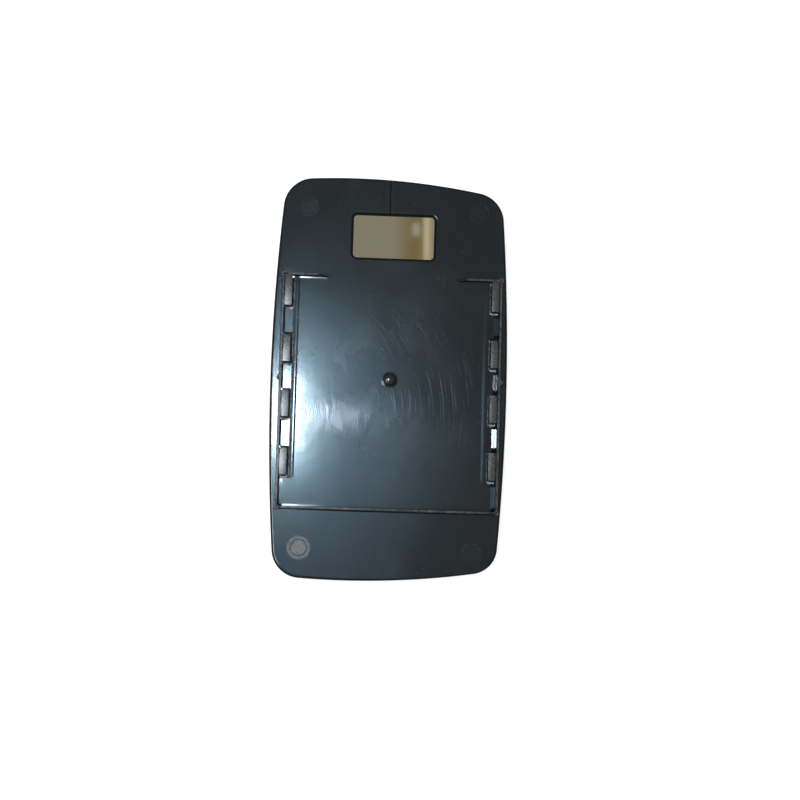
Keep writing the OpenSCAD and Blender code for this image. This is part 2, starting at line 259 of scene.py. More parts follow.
def outline_rays(s, edge_step=5.0, corner_step=0.9):
    """The plate's outline as points with their outward directions, anticlockwise from the right"""
    w, h = s.plate_w / 2, s.plate_h / 2
    edges = [
        ((w - s.right_r, s.side_apex_y), s.right_r),
        ((s.top_apex_x, h - s.top_r), s.top_r),
        ((s.left_r - w, s.side_apex_y), s.left_r),
        ((s.bottom_apex_x, s.bottom_r - h), s.bottom_r),
    ]
    corners = [s.top_right_r, s.top_left_r, s.bottom_left_r, s.bottom_right_r]

    def corner_centre(i):
        (ax, ay), ar = edges[i % 4]
        (bx, by), br = edges[(i + 1) % 4]
        ra, rb = ar - corners[i % 4], br - corners[i % 4]
        d = math.hypot(bx - ax, by - ay)
        ux, uy = (bx - ax) / d, (by - ay) / d
        t = (ra * ra - rb * rb + d * d) / (2 * d)
        off = math.sqrt(ra * ra - t * t)
        return ax + ux * t - uy * off, ay + uy * t + ux * off

    def angle_near(v, m):
        c, d = math.cos(m), math.sin(m)
        return m + math.atan2(v[1] * c - v[0] * d, v[0] * c + v[1] * d)

    rays = []

    def add_arc(c, r, start, end, step):
        n = max(2, math.ceil(abs(end - start) * r / step))
        for k in range(n):
            a = start + (end - start) * k / n
            rays.append((c[0] + r * math.cos(a), c[1] + r * math.sin(a), math.cos(a), math.sin(a)))

    for i in range(4):
        c, r = edges[i]
        before, after = corner_centre(i + 3), corner_centre(i)
        follow = edges[(i + 1) % 4][0]
        start = angle_near((before[0] - c[0], before[1] - c[1]), QUARTER * i)
        end = angle_near((after[0] - c[0], after[1] - c[1]), QUARTER * i)
        last = angle_near((after[0] - follow[0], after[1] - follow[1]), QUARTER * (i + 1))
        add_arc(c, r, start, end, edge_step)
        add_arc(after, corners[i], end, last, corner_step)
    return rays


def rounded_box_rays(cx, cy, w, h, r, steps=8, straight=4.0):
    """A rounded rectangle as points with outward directions, anticlockwise"""
    rays = []
    for i, (sx, sy) in enumerate(((1, 1), (-1, 1), (-1, -1), (1, -1))):
        px, py = cx + sx * (w / 2 - r), cy + sy * (h / 2 - r)
        for k in range(steps + 1):
            a = QUARTER * i + QUARTER * k / steps
            rays.append((px + r * math.cos(a), py + r * math.sin(a), math.cos(a), math.sin(a)))
        run = (w if i % 2 == 0 else h) - 2 * r
        n = max(1, round(run / straight))
        x0, y0, nx, ny = rays[-1]
        rays += [(x0 - ny * run * k / n, y0 + nx * run * k / n, nx, ny) for k in range(1, n)]
    return rays


def core_rays(s, side, i):
    """A core hole's edge with outward directions, anticlockwise"""
    x0, x1 = core_in(s, side), s.core_out
    y0, y1 = core_ends(s, i)
    r = s.core_corner_r
    pts = [(x1, y0, 1, -1), (x1, y1, 1, 1)]
    for px, py, start in ((x0 + r, y1 - r, 90), (x0 + r, y0 + r, 180)):
        for k in range(7):
            a = math.radians(start + 15 * k)
            pts.append((px + r * math.cos(a), py + r * math.sin(a), math.cos(a), math.sin(a)))
        if start == 90:
            run = y1 - y0 - 2 * r
            n = max(2, round(run / 2.0))
            pts += [(x0, y1 - r - run * k / n, -1, 0) for k in range(1, n)]
    out = [(s.clip_x + side * x, s.clip_y + y, side * nx, ny) for x, y, nx, ny in pts]
    return out if side > 0 else out[::-1]


def ring(rays, grow):
    return [(x + grow * nx, y + grow * ny) for x, y, nx, ny in rays]


class Skin:
    """Collects faces in millimetres, with the normal of each of their corners"""

    def __init__(self):
        self.points, self.index, self.faces, self.normals, self.slots = [], {}, [], [], []

    def point(self, p):
        key = (round(p[0], 4), round(p[1], 4), round(p[2], 4))
        if key not in self.index:
            self.index[key] = len(self.points)
            self.points.append(tuple(p))
        return self.index[key]

    def face(self, corners, normals, slot=0):
        ids = [self.point(c) for c in corners]
        keep = [k for k in range(len(ids)) if ids[k] != ids[k - 1]]
        if len(set(ids[k] for k in keep)) < 3:
            return
        self.faces.append([ids[k] for k in keep])
        self.normals.append([tuple(normals[k]) for k in keep])
        self.slots.append(slot)

    def band(self, low, high, slot=0):
        """Quads between two rings, each given as points and normals; seen from outside high lies to the
        left of low's run"""
        (a, na), (b, nb) = low, high
        for k in range(len(a)):
            j = (k + 1) % len(a)
            self.face([a[k], a[j], b[j], b[k]], [na[k], na[j], nb[j], nb[k]], slot)

    def patch(self, pts, normals, triangles):
        for t in triangles:
            self.face([pts[k] for k in t], [normals[k] for k in t])

    def build(self, name, *materials):
        mesh = bpy.data.meshes.new(name)
        mesh.from_pydata([(x * MM, y * MM, z * MM) for x, y, z in self.points], [], self.faces)
        for material in materials:
            mesh.materials.append(material)
        mesh.polygons.foreach_set("material_index", self.slots)
        mesh.polygons.foreach_set("use_smooth", [True] * len(self.faces))
        mesh.update()
        flat = [n for face in self.normals for n in face]
        if len(flat) == len(mesh.loops):
            mesh.normals_split_custom_set(flat)
        piece = bpy.data.objects.new(name, mesh)
        bpy.context.scene.collection.objects.link(piece)
        return piece


def inside(loop, pts):
    """Which of the points lie inside a closed loop"""
    hit = np.zeros(len(pts), bool)
    x, y = pts[:, 0], pts[:, 1]
    for (x0, y0), (x1, y1) in zip(loop, loop[1:] + loop[:1]):
        cross = (y0 > y) != (y1 > y)
        if y0 != y1:
            hit ^= cross & (x < x0 + (y - y0) * (x1 - x0) / (y1 - y0))
    return hit


def tile(outer, holes, lines, spacing):
    """Fills the area inside outer and outside the holes with triangles that keep to the lines"""
    pts, edges = [], []

    def add(loop, closed):
        first, n = len(pts), len(loop)
        pts.extend(loop)
        edges.extend((first + k, first + (k + 1) % n) for k in range(n if closed else n - 1))

    def within(places):
        keep = inside(outer, places)
        for hole in holes:
            keep &= ~inside(hole, places)
        return keep

    for loop in [outer] + holes:
        add(loop, True)
    for line in lines:
        add(line, False)
    xs, ys = [p[0] for p in outer], [p[1] for p in outer]
    nx = int((max(xs) - min(xs)) / spacing)
    ny = int((max(ys) - min(ys)) / spacing)
    grid = np.array([
        (min(xs) + spacing * (i + 0.5 + 0.5 * (j % 2)), min(ys) + spacing * (j + 0.5))
        for j in range(ny + 1) for i in range(nx + 1)
    ])
    pts.extend(map(tuple, grid[within(grid)]))
    got = delaunay_2d_cdt([Vector(p) for p in pts], edges, [], 0, 1e-5)
    out = np.array([(v.x, v.y) for v in got[0]])
    tris = np.array([t for t in got[2] if len(t) == 3])
    tris = tris[within(out[tris].mean(axis=1))]
    a, b, c = out[tris[:, 0]], out[tris[:, 1]], out[tris[:, 2]]
    area = (b[:, 0] - a[:, 0]) * (c[:, 1] - a[:, 1]) - (b[:, 1] - a[:, 1]) * (c[:, 0] - a[:, 0])
    tris[area < 0] = tris[area < 0][:, ::-1]
    return out.tolist(), tris[np.abs(area) > 1e-7].tolist()


def ridge_knots(s, side):
    """Slopes across a guide ridge, from the foot on its field side out to the broken edge by the cores"""
    edge = core_in(s, side) - s.ridge_mid + s.ridge_w / 2
    foot, lean, fall = (0.55, 0.2, -0.035) if side < 0 else (1.3, 0.026, -0.015)
    knots = [(0.0, 0.0), (0.18, lean * 0.9), (foot, lean), (foot + 0.2, 0.01), (edge - 0.3, fall)]
    rise = sum((q1 - q0) * (a + b) / 2 for (q0, a), (q1, b) in zip(knots, knots[1:]))
    knots += [(edge - 0.05, -2 * rise / 0.5), (edge + 0.2, 0.0)]
    return [(q, slope * s.ridge_h / 0.25) for q, slope in knots]


def half_chord(r, off):
    return math.sqrt(max(0.0, r * r - off * off))


def ridge_height(s, x, y):
    """Height above the floor of the guide ridges, whose lower ends are rounded"""
    side = -1 if x < s.clip_x else 1
    q = abs(x - s.clip_x) - s.ridge_mid + s.ridge_w / 2
    below = s.clip_y + s.hooks[-1][0] - y
    fade = min(1.0, (s.clip_y + s.top_rib_y - y) / 0.4)
    if below > 0:
        r = s.ridge_w / 2
        q -= r - half_chord(r, below)
        fade = min(fade, (r - below) / 0.5)
    if q <= 0 or fade <= 0:
        return 0.0
    height = 0.0
    knots = ridge_knots(s, side)
    for (q0, a), (q1, b) in zip(knots, knots[1:]):
        d = min(q, q1) - q0
        if d <= 0:
            break
        height += d * (a + (b - a) * d / (q1 - q0) / 2)
    return height * fade


def ridge_lines(s):
    """Lines along the ridges, where their slopes change, and across their ends"""
    end, top = s.clip_y + s.hooks[-1][0], s.clip_y + s.top_rib_y
    r = s.ridge_w / 2
    lines = []
    for side in (-1, 1):
        foot = s.ridge_mid - r
        knots = [q for q, _ in ridge_knots(s, side)]
        for q in [-0.02] + knots + [(knots[2] + knots[3]) / 2]:
            line = [(s.clip_x + side * (foot + q), top - (top - end) * k / 28) for k in range(29)]
            for _, d in arc(8)[1:]:
                below = r * d
                line.append((s.clip_x + side * (foot + q + r - half_chord(r, below)), end - below))
            lines.append(line)
        x0, x1 = s.clip_x + side * (foot - 0.02), s.clip_x + side * (foot + knots[-1])
        lines += [[(x0, top - d), (x1, top - d)] for d in (0.41, 0.39, 0.2, 0.01, -0.02)]
        lines += [
            [(x0, end - d), (x1 + side * r, end - d)]
            for d in (r - 0.52, r - 0.48, r - 0.25, r - 0.01, r + 0.02)
        ]
    return lines


def mark_centres(s):
    """The four ejector marks, the bottom left one first"""
    return [
        (s.clip_x + sx * (s.rail_x - s.mark_in), sy * (s.plate_h / 2 - s.mark_down))
        for sx in (-1, 1) for sy in (-1, 1)
    ]


def mark_depth(s, x, y):
    for cx, cy in mark_centres(s):
        q = math.hypot(x - cx, y - cy)
        if q < s.mark_r:
            return s.mark_d * min(1.0, (s.mark_r - q) / 0.1)
    return 0.0


def floor_height(s, x, y):
    return ball_z(s, x, y, s.floor_level) + ridge_height(s, x, y) - mark_depth(s, x, y)


def floor_normal(s, x, y):
    e = 0.003
    dx = (floor_height(s, x + e, y) - floor_height(s, x - e, y)) / (2 * e)
    dy = (floor_height(s, x, y + e) - floor_height(s, x, y - e)) / (2 * e)
    return Vector((-dx, -dy, 1)).normalized()


def mark_lines(s):
    lines = []
    for cx, cy in mark_centres(s):
        for r in (s.mark_r - 0.13, s.mark_r - 0.08, s.mark_r - 0.02, s.mark_r + 0.03):
            lines.append([
                (cx + r * math.cos(a), cy + r * math.sin(a)) for a in (2 * math.pi * k / 48 for k in range(49))
            ])
    return lines


def arc(steps):
    """Cosine and sine at even steps over a quarter turn, ends included"""
    return [(math.cos(QUARTER * k / steps), math.sin(QUARTER * k / steps)) for k in range(steps + 1)]


def spread(start, end, step):
    """Even stations from start to end, no further apart than step"""
    n = max(1, math.ceil(abs(end - start) / step))
    return [start + (end - start) * k / n for k in range(n + 1)]


def lifted(s, pts, level, rise=0.0):
    """Points on a layer that follows the glass, or a little above or below it"""
    return [(x, y, ball_z(s, x, y, level) + rise) for x, y in pts]


def leaning(s, pts, outward, level, up, out):
    """Normals between a layer's own and the outward directions, by the shares up and out"""
    return [
        (ball_normal(s, x, y, level) * up + o * out).normalized()
        for (x, y), o in zip(pts, outward)
    ]


def rounded_back(s, rays, outward, r, steps, away):
    """Rings of an edge that is rounded from the floor down to a wall, which lies away from it"""
    rings = []
    for c, d in arc(steps):
        pts = ring(rays, away * r * (1 - d))
        normals = leaning(s, pts, outward, s.floor_level, c, d)
        rings.append((lifted(s, pts, s.floor_level, -r * (1 - c)), normals))
    return rings


def core_rings(s, core):
    """Rings of a core hole: a slightly broken edge, then the wall down to the seat"""
    out = [Vector((nx, ny, 0)).normalized() for _, _, nx, ny in core]
    rings = []
    for grow, drop, lean in ((CORE_EDGE, 0.0, 0.0), (0.05, 0.04, 0.5), (0.0, CORE_EDGE, 1.0)):
        pts = ring(core, grow)
        rings.append((
            [(x, y, floor_height(s, x, y) - drop) for x, y in pts],
            [(floor_normal(s, x, y) * (1 - lean) - o * lean).normalized() for (x, y), o in zip(pts, out)],
        ))
    rings.append((lifted(s, ring(core, 0), s.seat_level), [-o for o in out]))
    return rings


def plate_skin(s):
    """The plate without its frame: curved floor, rounded rim, seat for the glass, window and core holes"""
    skin = Skin()
    rays = outline_rays(s)
    out = [Vector((nx, ny, 0)) for _, _, nx, ny in rays]
    steps = 8

    # Rounded back edge, side wall, then a small rounding, the rim's front face and the wall by the glass
    flat = ring(rays, -s.rim_t)
    rings = [(lifted(s, flat, s.floor_level), [ball_normal(s, x, y, s.floor_level) for x, y in flat])]
    rings += rounded_back(s, rays, out, s.rim_round, steps, -1)
    for c, d in arc(4):
        rings.append((
            lifted(s, ring(rays, -SMALL_EDGE * (1 - c)), s.glass_proud, SMALL_EDGE * (1 - d)),
            [(o * c - Vector((0, 0, d))).normalized() for o in out],
        ))
    inner_low = lifted(s, flat, s.glass_proud)
    rings.append((inner_low, [Vector((0, 0, -1))] * len(rays)))
    # The outer half of the rounded back edge and the side wall take the darker dull copy, a painted shade
    for k, (high, low) in enumerate(zip(rings, rings[1:])):
        skin.band(low, high, PLATE_SHADED_DULL if steps // 2 <= k < steps else GLOSS)
    inward = [-o for o in out]
    skin.band((lifted(s, flat, s.seat_level), inward), (inner_low, inward))

    # Window: rounded lip and wall
    window = rounded_box_rays(s.window_x, s.window_y, s.window_w, s.window_h, s.window_corner_r)
    facing = [Vector((-nx, -ny, 0)) for _, _, nx, ny in window]
    rings = rounded_back(s, window, facing, s.lip_round, steps, 1)
    rings.append((lifted(s, ring(window, 0), s.seat_level), facing))
    # The lip beyond its outer edge and the window's wall take the darker dull copy, a painted shade
    for k, (low, high) in enumerate(zip(rings, rings[1:])):
        skin.band(low, high, PLATE_SHADED_DULL if k > 1 else GLOSS)
    holes_top, holes_seat = [ring(window, s.lip_round)], [ring(window, 0)]

    for side in (-1, 1):
        for i in range(len(s.hooks)):
            core = core_rays(s, side, i)
            rings = core_rings(s, core)
            # The core holes' walls take the darker dull copy, a painted shade
            for k, (low, high) in enumerate(zip(rings, rings[1:])):
                skin.band(low, high, PLATE_SHADED_DULL if k == 2 else GLOSS)
            holes_top.append(ring(core, CORE_EDGE))
            holes_seat.append(ring(core, 0))

    pts, tris = tile(flat, holes_top, ridge_lines(s) + mark_lines(s), 6.0)
    skin.patch([(x, y, floor_height(s, x, y)) for x, y in pts], [floor_normal(s, x, y) for x, y in pts], tris)
    pts, tris = tile(flat, holes_seat, [], 12.0)
    normals = [-ball_normal(s, x, y, s.seat_level) for x, y in pts]
    skin.patch(lifted(s, pts, s.seat_level), normals, [(a, c, b) for a, b, c in tris])
    return skin


def loft(skin, s, stations, profile, along_x, slot_of=None):
    """Sweeps a section along X or Y. The section is a list of (offset, height, on floor, normal across,
    normal up); heights count from the floor or from the part's front, so feet follow the curved floor."""
    across = Vector((0, 1, 0)) if along_x else Vector((1, 0, 0))
    rows = []
    for t in stations:
        row, normals = [], []
        for off, h, on_floor, nu, nz in profile(t):
            x, y = (t, off) if along_x else (off, t)
            up = ball_normal(s, x, y, s.floor_level) if on_floor else Vector((0, 0, 1))
            row.append((x, y, ball_z(s, x, y, s.floor_level) + h if on_floor else h))
            normals.append((across * nu + up * nz).normalized())
        rows.append((row, normals))
    middles = [(u + v) / 2 for u, v in zip(stations, stations[1:])]
    for mid, (a, na), (b, nb) in zip(middles, rows, rows[1:]):
        for k in range(len(a) - 1):
            corners = [a[k], a[k + 1], b[k + 1], b[k]]
            normals = [na[k], na[k + 1], nb[k + 1], nb[k]]
            if along_x:
                corners, normals = corners[::-1], normals[::-1]
            skin.face(corners, normals, slot_of(k, mid) if slot_of else GLOSS)
    for (row, _), sign in ((rows[0], -1), (rows[-1], 1)):
        d = Vector((sign, 0, 0)) if along_x else Vector((0, sign, 0))
        loop = row if (sign > 0) == along_x else row[::-1]
        skin.face(loop, [d] * len(loop))


def fillet(wall, r, side, steps=6):
    """Foot fillet from the floor up to a wall that faces side"""
    return [(wall + side * r * (1 - d), r * (1 - c), True, side * d, c) for c, d in arc(steps)]


def eased(wall, side, wide, lean, r=0.4):
    """A strip of floor that leans a little towards a wall that faces side, then a small fillet up to it"""
    rise = wide * lean
    strip = [(wall + side * (r + wide), 0.01, True, side * lean, 1), (wall + side * r, rise, True, side * lean, 1)]
    return strip + [(off, rise + h, *rest) for off, h, *rest in fillet(wall, r, side, 4)[1:]]


def crest(left, right, top, r):
    """Flat top between two walls, with rounded edges, from left to right"""
    out = [(left + r * (1 - c), top - r * (1 - d), False, -c, d) for c, d in arc(4)]
    return out + [(right - r * (1 - d), top - r * (1 - c), False, d, c) for c, d in arc(4)]


def crest_slot(first, k):
    """Slot of face k of a section whose crest starts at point first: a satin top between dull walls, which take
    the painted-shade copy
    """
    return SATIN if first + 2 <= k <= first + 6 else SHADED_DULL if k in (first - 1, first + 9) else GLOSS


def rails_skin(s):
    """The two long rails, with a small fillet on the side away from the hooks"""
    skin = Skin()
    stations = spread(s.clip_y - s.bottom_rib_y, s.clip_y + s.top_rib_y, 5.0)
    for side in (-1, 1):
        mid = s.clip_x + side * s.rail_x
        low, high = mid - s.rail_t / 2, mid + s.rail_t / 2
        left = fillet(low, FRAME_EDGE, -1) if side < 0 else [(low, -BURIED, True, -1, 0)]
        right = fillet(high, FRAME_EDGE, 1)[::-1] if side > 0 else [(high, -BURIED, True, 1, 0)]
        section = left + crest(low, high, s.frame_top, FRAME_EDGE) + right
        loft(skin, s, stations, lambda t: section, False, lambda k, _: crest_slot(len(left), k))
    return skin


def leaning_strip(s, wall, lean):
    """Section of the strip of floor beside the right rail, which leans up to it and has a groove in it"""
    wide, groove_at = s.bay_lean_w, s.bay_lean_w * 0.48
    middle = wall - groove_at
    bottom = (wide - groove_at) * lean - 0.08
    return [
        (wall - wide, 0.01, True, -lean, 1),
        (middle - 0.25, (wide - groove_at - 0.25) * lean, True, -lean, 1),
        (middle - 0.1, bottom, True, 0.6, 1),
        (middle + 0.1, bottom, True, -0.6, 1),
        (middle + 0.2, (wide - groove_at + 0.2) * lean, True, -lean, 1),
        (wall, wide * lean, True, -lean, 1),
    ]


def bays_skin(s):
    """Fillets and leaning strips between the floor and the rails, below each hook"""
    skin = Skin()
    lean_shares = (0.5, 0.78, 0.92, 0.55)
    for side, r in ((-1, s.left_bay_r), (1, s.right_bay_r)):
        wall = s.clip_x + side * s.rail_face
        closing = [
            (wall + side * 0.4, r, True, -side, 0), (wall + side * 0.4, -BURIED, True, side, 0),
            (wall - side * r, -BURIED, True, -side, 0),
        ]
        for i, share in enumerate(lean_shares):
            y1 = core_ends(s, i)[0]
            y0 = core_ends(s, i + 1)[1] if i + 1 < len(s.hooks) else -s.bottom_rib_face
            foot = fillet(wall, r, -side, 14) if side < 0 else leaning_strip(s, wall, s.bay_lean * share)
            section = (foot + closing)[::side]
            loft(skin, s, spread(s.clip_y + y0, s.clip_y + y1, 3.0), lambda t: section, False)
    return skin


def ribs_skin(s):
    """Two short top ribs, which ramp down to the floor, and the bottom rib"""
    skin = Skin()
    low, high = s.clip_y + s.top_rib_face, s.clip_y + s.top_rib_face + s.rail_t
    end = s.rail_x - s.top_rib_l
    ramp_foot = 0.12

    def top_rib(t):
        d = abs(t - s.clip_x) - end
        floor = ball_z(s, t, low, s.floor_level)
        climb = (s.frame_top - floor - ramp_foot) * max(0.0, d) / s.ramp_l
        top = s.frame_top if d >= s.ramp_l else floor + ramp_foot + climb
        h = top - floor
        foot = eased(low, -1, s.foot_r * 0.75, 0.034, min(0.35, h * 0.4))
        back = fillet(high, min(0.25, h * 0.4), 1)[::-1]
        return foot + crest(low, high, top, min(FRAME_EDGE, h * 0.3)) + back

    def top_rib_slot(k, x):
        slot = crest_slot(6, k)
        return GLOSS if slot == SATIN and abs(x - s.clip_x) <= end + s.ramp_l else slot

    xs = spread(end, end + s.ramp_l, 0.8) + spread(end + s.ramp_l, s.rail_x, 4.0)[1:]
    for side in (-1, 1):
        loft(skin, s, sorted(s.clip_x + side * x for x in xs), top_rib, True, top_rib_slot)

    low, high = s.clip_y - s.bottom_rib_y - s.bottom_rib_t / 2, s.clip_y - s.bottom_rib_face
    section = fillet(low, 0.25, -1) + crest(low, high, s.frame_top, FRAME_EDGE)
    section += eased(high, 1, s.foot_r * 0.8, 0.02)[::-1]
    xs = spread(s.clip_x - s.rail_x, s.clip_x + s.rail_x, 4.0)
    loft(skin, s, xs, lambda t: section, True, lambda k, _: crest_slot(7, k))
    return skin


def turn(skin, centre, section, steps, slot_of=None):
    """Turns a section of (radius, height, normal out, normal up) round a vertical axis"""
    rows = []
    for k in range(steps):
        a = 2 * math.pi * k / steps
        c, d = math.cos(a), math.sin(a)
        rows.append((
            [(centre[0] + r * c, centre[1] + r * d, z) for r, z, _, _ in section],
            [Vector((nr * c, nr * d, nz)).normalized() for _, _, nr, nz in section],
        ))
    for (a, na), (b, nb) in zip(rows, rows[1:] + rows[:1]):
        for j in range(len(section) - 1):
            corners = [a[j], b[j], b[j + 1], a[j + 1]]
            skin.face(corners, [na[j], nb[j], nb[j + 1], na[j + 1]], slot_of(j) if slot_of else GLOSS)


def bosses_skin(s):
    """Ejector bosses on the corners of the frame and half way along the rails, slightly dished"""
    skin = Skin()
    places = [(side * s.rail_x, y) for side in (-1, 1) for y in (-s.bottom_rib_y, s.top_rib_y)]
    places += [(side * (s.rail_x + s.boss_out), 0) for side in (-1, 1)]
    r, edge = s.boss_r, 0.22
    top = s.frame_top + 0.03
    dish = top - 0.05
    for x, y in places:
        x, y = s.clip_x + x, s.clip_y + y
        section = [(r, ball_z(s, x, y, s.floor_level) - BURIED, 1, 0)]
        section += [(r - edge * (1 - c), top - edge * (1 - d), c, d) for c, d in arc(4)]
        section += [(r * 0.72, top, 0, 1), (r * 0.66, dish, 0.4, 1), (r * 0.6, dish, 0, 1), (0.0, dish, 0, 1)]
        # The bosses' sides take the darker dull copy, a painted shade
        turn(skin, (x, y), section, 28, lambda k: SATIN if k else SHADED_DULL)
    return skin


def pin_skin(s):
    """The centre pin: a small fillet, a straight stretch and a flattened dome with a well rounded edge"""
    skin = Skin()
    base = s.floor_level
    lift = base + 0.04
    f = s.pin_foot_r * 0.5
    section = [(s.pin_r + 3 * f, base + 0.01, 0.033, 1), (s.pin_r + f, lift, 0.04, 1)]
    section += [(s.pin_r + f * (1 - d), lift + f * (1 - c), d, c) for c, d in arc(8)[1:]]
    cap, edge = 32.0, 1.3
    lean = math.asin((s.pin_r - edge) / (cap - edge))
    middle = base + s.pin_h - cap
    for k in range(13):
        a = (QUARTER - lean) * k / 12
        c, d = math.cos(a), math.sin(a)
        section.append((s.pin_r - edge * (1 - c), middle + (cap - edge) * math.cos(lean) + edge * d, c, d))
    for k in range(1, 7):
        a = lean * (1 - k / 6)
        section.append((cap * math.sin(a), middle + cap * math.cos(a), math.sin(a), math.cos(a)))
    turn(skin, (s.clip_x, s.clip_y), section, 64)
    return skin


def bar(bm, s, side, section, y0, y1):
    """A bar along the rail, with a section of (distance from the frame's middle, height)"""
    a, b = [
        [bm.verts.new(((s.clip_x + side * x) * MM, (s.clip_y + y) * MM, z * MM)) for x, z in section]
        for y in (y0, y1)
    ]
    bm.faces.new(a)
    bm.faces.new(b[::-1])
    n = len(section)
    for k in range(n):
        bm.faces.new((a[k], b[k], b[(k + 1) % n], a[(k + 1) % n]))


def hooks_mesh(s, name):
    """Hook tabs over the core holes, each on the wall beside the rail, with softened edges"""
    bm = bmesh.new()
    under = s.hook_top - s.hook_t
    groove = s.frame_top - s.hook_groove_d
    foot = s.seat_level + 0.02
    inner = s.rail_face + 0.3
    hook = [
        (s.hook_tip, under), (s.core_out, under), (s.core_out, foot), (inner, foot), (inner, groove),
        (s.hook_out, groove), (s.hook_out, s.hook_top), (s.hook_tip, s.hook_top),
    ]
    ledge_in, ledge_out = s.hook_tip + 0.3, s.core_out + 0.1
    ledge = [
        (ledge_in, foot), (ledge_out, foot), (ledge_out, s.floor_level + 0.9), (ledge_in, s.floor_level + 0.4),
    ]
    for side in (-1, 1):
        for i, (y0, y1) in enumerate(s.hooks):
            bar(bm, s, side, hook, y0, y1 + (0.1 if i == 0 else 0))
            if i:
                bar(bm, s, side, ledge, y1 + 0.55, y1 + 0.95)
    bmesh.ops.recalc_face_normals(bm, faces=bm.faces)
    sharp = [
        e for e in bm.edges
        if len(e.link_faces) == 2 and e.calc_face_angle() > 0.5
        and min(v.co.z for v in e.verts) > (s.floor_level + 0.5) * MM
    ]
    bmesh.ops.bevel(bm, geom=sharp, offset=0.00018, segments=3, profile=0.6, affect="EDGES")
    for f in bm.faces:
        f.smooth = True
        z = f.calc_center_median().z
        level = z < (s.floor_level + 1.2) * MM or abs(z - s.hook_top * MM) < 0.00008
        # Upright faces take the darker dull copy of the plastic, a painted shade
        f.material_index = 2 if abs(f.normal.z) < 0.2 else 1 if f.normal.z > 0.8 and level else 0
    mesh = bpy.data.meshes.new(name)
    bm.to_mesh(mesh)
    bm.free()
    mesh.set_sharp_from_angle(angle=math.radians(50))
    return mesh


def flash_skin(s, seed):
    """Irregular moulding flash along the core holes' field side and round their lower ends"""
    rng = random.Random(seed)
    skin = Skin()
    r, step = s.core_corner_r, 0.35
    for side in (-1, 1):
        for i in range(len(s.hooks)):
            x0, x1 = core_in(s, side), s.core_out
            y0, y1 = core_ends(s, i)
            path = [(x0, y, -1.0, 0.0) for y in spread(y1 - (0.2 if i == 0 else r), y0 + r, step)]
            path += [(x0 + r - r * c, y0 + r - r * d, -c, -d) for c, d in arc(6)[1:-1]]
            path += [(x, y0, 0.0, -1.0) for x in spread(x0 + r, x1 - 0.1, step)]
            rows = []
            swell = 0.0
            for k, (x, y, nx, ny) in enumerate(path):
                swell = 0.6 * swell + rng.uniform(-0.5, 0.5)
                burst = 0.5 + math.sin(k * 0.37 + i * 2.1 + side) * 0.4 + 0.5 * swell
                burst = min(1.0, max(0.0, burst))
                high = s.flash_h * (0.35 + 0.65 * burst)
                wide = (0.3 if nx else 0.95) + 0.45 * burst
                hang = -0.03 - 0.22 * burst * rng.random()
                row = []
                for d, h in (
                    (hang - 0.05, -0.3), (hang, high * 0.7), (wide * 0.35, high),
                    (wide * 0.8, high * 0.6), (wide + 0.12, -0.04),
                ):
                    px = s.clip_x + side * (x + d * nx)
                    py = s.clip_y + y + d * ny
                    row.append((px, py, floor_height(s, px, py) + h))
                rows.append(row)
            for a, b, (_, _, _, ny) in zip(rows, rows[1:], path):
                for k in range(len(a) - 1):
                    quad = [a[k], b[k], b[k + 1], a[k + 1]][::side]
                    n = (Vector(quad[2]) - Vector(quad[0])).cross(Vector(quad[3]) - Vector(quad[1]))
                    if n.z < 0 and k > 0:
                        quad, n = quad[::-1], -n
                    on_top = 0 < k < 3
                    if on_top:
                        n = ball_normal(s, a[k][0], a[k][1], s.floor_level)
                        n += Vector((rng.gauss(0, 0.07), rng.gauss(0, 0.07), 0))
                    # Tops round the holes' lower ends take the pale copy, a painted glint
                    flash_glint = ny < -0.5 and on_top
                    skin.face(quad, [n.normalized()] * 4, 1 if flash_glint else 0)
    return skin


def glass_skin(s):
    """The mirror glass: both faces follow the sphere, the edge is ground round"""
    skin = Skin()
    rays = outline_rays(s)
    out = [Vector((nx, ny, 0)) for _, _, nx, ny in rays]
    inset = s.rim_t + s.glass_gap
    rings = []
    for c, d in arc(4):
        pts = ring(rays, -inset - SMALL_EDGE * (1 - d))
        normals = leaning(s, pts, out, s.glass_t, c, d)
        rings.append((lifted(s, pts, s.glass_t, -SMALL_EDGE * (1 - c)), normals))
    for c, d in arc(4):
        pts = ring(rays, -inset - SMALL_EDGE * (1 - c))
        rings.append((lifted(s, pts, 0, SMALL_EDGE * (1 - d)), leaning(s, pts, out, 0, -d, c)))
    for high, low in zip(rings, rings[1:]):
        skin.band(low, high, 1)
    pts, tris = tile(ring(rays, -inset - SMALL_EDGE), [], [], 6.0)
    for level, sign in ((s.glass_t, 1), (0.0, -1)):
        normals = [ball_normal(s, x, y, level) * sign for x, y in pts]
        skin.patch(lifted(s, pts, level), normals, [t[::sign] for t in tris])
    return skin


